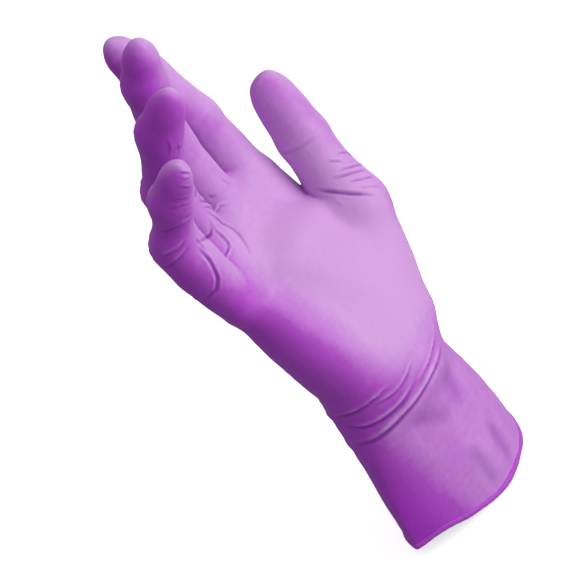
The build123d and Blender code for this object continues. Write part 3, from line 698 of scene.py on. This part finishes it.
def film_material(name, deep, body, light, rough, grain):
    m = bpy.data.materials.new(name)
    m.use_nodes = True
    nt = m.node_tree
    nt.nodes.clear()
    L = nt.links.new
    out = node(nt, 'ShaderNodeOutputMaterial')
    b = node(nt, 'ShaderNodeBsdfPrincipled')
    L(b.outputs[0], out.inputs[0])
    tc = node(nt, 'ShaderNodeTexCoord')
    # cloudy thickness of the dipped film, streaked along the hand
    mp = node(nt, 'ShaderNodeMapping'); mp.inputs['Scale'].default_value = (1, 1, .45)
    L(tc.outputs['Object'], mp.inputs[0])
    n1 = node(nt, 'ShaderNodeTexNoise'); n1.inputs['Scale'].default_value = 75; n1.inputs['Detail'].default_value = 4; n1.inputs['Roughness'].default_value = .55
    n2 = node(nt, 'ShaderNodeTexNoise'); n2.inputs['Scale'].default_value = 420; n2.inputs['Detail'].default_value = 3; n2.inputs['Roughness'].default_value = .6
    L(mp.outputs[0], n1.inputs['Vector']); L(tc.outputs['Object'], n2.inputs['Vector'])
    at = node(nt, 'ShaderNodeAttribute', attribute_name='slack_and_shade')
    crease_dark = node(nt, 'ShaderNodeAttribute', attribute_name='crease_shade')
    a1 = node(nt, 'ShaderNodeMath', operation='MULTIPLY_ADD'); a1.inputs[1].default_value = .2
    L(n1.outputs['Fac'], a1.inputs[0]); 
    a2 = node(nt, 'ShaderNodeMath', operation='MULTIPLY_ADD'); a2.inputs[1].default_value = .08
    L(n2.outputs['Fac'], a2.inputs[0])
    a0 = node(nt, 'ShaderNodeMath', operation='MULTIPLY'); a0.inputs[1].default_value = .72
    L(at.outputs['Fac'], a0.inputs[0])
    L(a0.outputs[0], a2.inputs[2]); L(a2.outputs[0], a1.inputs[2])
    # tones from light through body to deep: partly the film's own tight and slack tones, partly lit and shaded copies
    # of one colour, chosen by the painted light and shade attribute
    r = ramp(nt, [(.20, light), (.52, body), (.84, deep)])
    L(a1.outputs[0], r.inputs[0])
    # painted shade: the base colour is multiplied darker along crease and groove valleys
    mx = node(nt, 'ShaderNodeMix', data_type='RGBA', blend_type='MULTIPLY')
    mx.inputs['B'].default_value = (.50, .36, .60, 1)
    k = node(nt, 'ShaderNodeMath', operation='MULTIPLY'); k.inputs[1].default_value = .85; k.use_clamp = True
    L(crease_dark.outputs['Fac'], k.inputs[0]); L(k.outputs[0], mx.inputs[0])
    L(r.outputs[0], mx.inputs['A'])
    L(mx.outputs['Result'], b.inputs['Base Color'])
    rr = node(nt, 'ShaderNodeMapRange'); rr.inputs['From Min'].default_value = .3; rr.inputs['From Max'].default_value = .7
    rr.inputs['To Min'].default_value = rough-.05; rr.inputs['To Max'].default_value = rough+.06
    L(n2.outputs['Fac'], rr.inputs[0]); L(rr.outputs[0], b.inputs['Roughness'])
    b.inputs['IOR'].default_value = 1.50
    b.inputs['Specular IOR Level'].default_value = .50
    b.inputs['Specular Tint'].default_value = (.92, .55, 1.0, 1)
    b.inputs['Sheen Weight'].default_value = .12
    b.inputs['Sheen Roughness'].default_value = .7
    b.inputs['Sheen Tint'].default_value = (.92, .55, 1.0, 1)
    b.inputs['Coat Weight'].default_value = .22
    b.inputs['Coat Roughness'].default_value = .46
    b.inputs['Coat IOR'].default_value = 1.5
    # fine chlorinated grain, and a faint pull in the film
    n3 = node(nt, 'ShaderNodeTexNoise'); n3.inputs['Scale'].default_value = grain; n3.inputs['Detail'].default_value = 5; n3.inputs['Roughness'].default_value = .62
    L(tc.outputs['Object'], n3.inputs['Vector'])
    mp2 = node(nt, 'ShaderNodeMapping'); mp2.inputs['Scale'].default_value = (1, 1, .22); mp2.inputs['Rotation'].default_value = (math.radians(-12), 0, 0)
    L(tc.outputs['Object'], mp2.inputs[0])
    n4 = node(nt, 'ShaderNodeTexNoise'); n4.inputs['Scale'].default_value = 330; n4.inputs['Detail'].default_value = 4; n4.inputs['Distortion'].default_value = .5
    L(mp2.outputs[0], n4.inputs['Vector'])
    b1 = node(nt, 'ShaderNodeBump'); b1.inputs['Strength'].default_value = .55; b1.inputs['Distance'].default_value = .00010
    b2 = node(nt, 'ShaderNodeBump'); b2.inputs['Strength'].default_value = .45; b2.inputs['Distance'].default_value = .00028
    L(n3.outputs['Fac'], b1.inputs['Height']); L(n4.outputs['Fac'], b2.inputs['Height'])
    L(b2.outputs[0], b1.inputs['Normal']); L(b1.outputs[0], b.inputs['Normal'])
    return m

# film tones, pale to deep: the paler stand for lit and tight film, the deeper for shaded and slack film
film_m = film_material('nitrile_film', (.38, .020, .52), (.44, .068, .56), (.60, .32, .67), .60, 2600)
bead_m = film_material('nitrile_bead', (.36, .018, .49), (.41, .050, .53), (.47, .100, .58), .58, 2200)

# ------------------------------------------------------------------ pieces
ub = {k: unit(SK[k][1]-SK[k][0]) for k in ALL}
made = {}
for i, n in enumerate(names):
    f = Q[piece == i]
    if not len(f):
        continue
    if i == 0:
        ob, _ = skin_piece(n, f)
        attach(ob, 'cuff'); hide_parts('cuff')
    elif i == 1:
        ob, w = skin_piece(n, f, wr)
        bend(ob, 'cuff', 'palm', PO, w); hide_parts('wrist_fold')
    elif i == 2:
        ob, _ = skin_piece(n, f)
        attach(ob, 'palm'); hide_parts('palm')
    else:
        k = ALL[(i-3)//3]; j = (i-3) % 3
        ob, w = skin_piece(n, f, TAU[k]-j)
        a = 'palm' if j == 0 else BODY[k][j-1]
        bend(ob, a, BODY[k][j], SK[k][j], w)
        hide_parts(BODY[k][j])
    ob.data.materials.append(film_m)
    made[n] = ob

# rolled bead round the mouth
def bead():
    n0 = 1440
    a = np.linspace(0, 2*np.pi, n0, endpoint=False)
    c = np.tile(np.array([0.9, -0.8, 0.0]), (n0, 1))
    d = np.stack([np.cos(a), np.sin(a), 0*a], 1)
    z = np.zeros(n0)
    for _ in range(3):
        c[:, 2] = z
        p = onto(c, d)
        z = rim_z(p)
    p[:, 2] = z
    l = np.concatenate([[0], np.cumsum(np.linalg.norm(np.roll(p, -1, 0)-p, axis=1))])
    n = 460
    t = np.linspace(0, l[-1], n, endpoint=False)
    pp = np.concatenate([p, p[:1]])
    q = np.stack([np.interp(t, l, pp[:, i]) for i in range(3)], 1)
    for _ in range(2):
        q = 0.5*q+0.25*(np.roll(q, 1, 0)+np.roll(q, -1, 0))
    T = np.roll(q, -1, 0)-np.roll(q, 1, 0); T /= np.linalg.norm(T, axis=1)[:, None]
    up = np.array([0, 0, 1.0])
    o = np.cross(T, up); o /= np.linalg.norm(o, axis=1)[:, None]
    s = np.sign((o*(q-q.mean(0))).sum(1).mean()); o *= s
    # the roll is not perfectly even: it swells and tightens a little, and shows the lip of its last turn
    m = 18
    f = np.linspace(0, 2*np.pi, m, endpoint=False)
    sw = 1+0.07*np.sin(t*0.21)+0.05*np.sin(t*0.53+1.1)+0.03*np.sin(t*1.9+.4)
    ra, rb = 0.64, 1.2
    lip = 1+0.16*np.exp(-((f-2.35)/0.33)**2)-0.12*np.exp(-((f-2.95)/0.22)**2)
    co = (q[:, None]+o[:, None]*(ra*sw[:, None]*(lip*np.cos(f))[None])[..., None]
          + up[None, None]*(rb*sw[:, None]*(lip*np.sin(f))[None])[..., None]).reshape(-1, 3)
    co[:, 2] = np.maximum(co[:, 2], 0.02)
    i = np.arange(n)[:, None]; j = np.arange(m)[None]
    A = i*m+j; B = ((i+1) % n)*m+j; C = ((i+1) % n)*m+(j+1) % m; D = i*m+(j+1) % m
    q4 = np.stack([A, B, C, D], -1).reshape(-1, 4)
    if s > 0:
        q4 = q4[:, ::-1]
    me = bpy.data.meshes.new('glove_rim_bead')
    me.from_pydata((co*0.001).tolist(), [], q4.tolist())
    me.polygons.foreach_set("use_smooth", np.ones(len(q4), bool))
    for nm in ("crease_shade", "slack_and_shade"):
        at = me.attributes.new(nm, "FLOAT", "POINT")
        v = np.zeros(len(co)) if nm == "crease_shade" else np.full(len(co), .5)
        # painted shade: the tuck under the lip of the roll's last turn is painted darker
        if nm == "crease_shade":
            v = np.tile(np.exp(-((f-2.95)/0.2)**2)*.8, n)
        at.data.foreach_set("value", v.astype(np.float32))
    me.update()
    ob = bpy.data.objects.new('glove_rim_bead', me)
    bpy.context.scene.collection.objects.link(ob)
    return ob
rb_ = bead()
rb_.data.materials.append(bead_m)
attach(rb_, 'cuff'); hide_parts('cuff_bead')

# ------------------------------------------------------------------ studio
def plain(name, col, rough, glow):
    m = bpy.data.materials.new(name); m.use_nodes = True
    nt = m.node_tree; b = nt.nodes['Principled BSDF']
    n = node(nt, 'ShaderNodeTexNoise'); n.inputs['Scale'].default_value = 3.0
    r = ramp(nt, [(.3, tuple(c*.995 for c in col)), (.7, col)])
    nt.links.new(n.outputs['Fac'], r.inputs[0])
    mxf = node(nt, 'ShaderNodeMix', data_type='RGBA'); mxf.inputs['A'].default_value = (.34, .31, .36, 1)
    b.inputs['Roughness'].default_value = rough
    b.inputs['Emission Color'].default_value = (1, 1, 1, 1)
    # a white sweep far below the light: seen as white paper, and it throws back less than it shows
    lp = node(nt, 'ShaderNodeLightPath')
    g = node(nt, 'ShaderNodeMath', operation='MULTIPLY_ADD'); g.inputs[1].default_value = glow; g.inputs[2].default_value = .05
    nt.links.new(r.outputs[0], mxf.inputs['B']); nt.links.new(lp.outputs['Is Camera Ray'], mxf.inputs[0]); nt.links.new(mxf.outputs['Result'], b.inputs['Base Color'])
    nt.links.new(lp.outputs['Is Camera Ray'], g.inputs[0]); nt.links.new(g.outputs[0], b.inputs['Emission Strength'])
    return m
bpy.ops.mesh.primitive_plane_add(size=24, location=(0, 0, -0.0004))
floor = bpy.context.object; floor.name = 'floor'
floor.data.materials.append(plain('floor_paper', (.93, .93, .93), .8, .62))

AZ, EL, ROLL = math.radians(-47.1), math.radians(22.7), math.radians(33.8)
backv = Vector((math.sin(AZ)*math.cos(EL), -math.cos(AZ)*math.cos(EL), math.sin(EL)))
right = Vector((math.cos(AZ), math.sin(AZ), 0))
up = backv.cross(right)
R2 = right*math.cos(ROLL)-up*math.sin(ROLL)
U2 = right*math.sin(ROLL)+up*math.cos(ROLL)
look = Vector((0, 0, .130))
cam = bpy.data.cameras.new('camera')
co_ = bpy.data.objects.new('camera', cam)
bpy.context.scene.collection.objects.link(co_)
M3 = Matrix((R2, U2, backv)).transposed()
co_.matrix_world = Matrix.Translation(look+backv*.9-R2*.0018-U2*.0221) @ M3.to_4x4()
cam.sensor_width = 36; cam.lens = 143.3
cam.clip_start = .01; cam.clip_end = 60
bpy.context.scene.camera = co_

def area(name, d, dist, size, power, col=(1, 1, 1)):
    l = bpy.data.lights.new(name, 'AREA'); l.shape = 'DISK'; l.size = size; l.energy = power; l.color = col
    o = bpy.data.objects.new(name, l); bpy.context.scene.collection.objects.link(o)
    d = Vector(d).normalized(); c = Vector((0, 0, .12))
    o.location = c+d*dist
    o.rotation_euler = d.to_track_quat('Z', 'Y').to_euler()
    return o
area('key', R2*.76+U2*.48+backv*.50, 1.6, 1.4, 23)
area('behind', R2*.25+U2*.35-backv*.9, 1.9, 1.6, 14)
area('fill', backv*.9+U2*.5, 1.9, 1.4, 1.5)
area('top', (0.1, .25, 1), 1.8, 1.6, 5)
w = bpy.data.worlds.new('studio'); bpy.context.scene.world = w; w.use_nodes = True
nt = w.node_tree; bg = nt.nodes['Background']
tcw = node(nt, 'ShaderNodeTexCoord')
dp = node(nt, 'ShaderNodeVectorMath', operation='DOT_PRODUCT'); dp.inputs[1].default_value = (R2*.8+U2*.45+backv*.4).normalized()
rw = ramp(nt, [(.0, (.27, .19, .31)), (.5, (.40, .33, .45)), (.8, (.42, .42, .42)), (1.0, (.58, .58, .58))])
mr = node(nt, 'ShaderNodeMapRange'); mr.inputs['From Min'].default_value = -1; mr.inputs['From Max'].default_value = 1
nt.links.new(tcw.outputs['Generated'], dp.inputs[0]); nt.links.new(dp.outputs['Value'], mr.inputs[0])
nt.links.new(mr.outputs[0], rw.inputs[0]); nt.links.new(rw.outputs[0], bg.inputs[0])
bg.inputs[1].default_value = 1.0
bpy.context.scene.view_settings.view_transform = 'Standard'
bpy.context.scene.view_settings.look = 'None'

import json
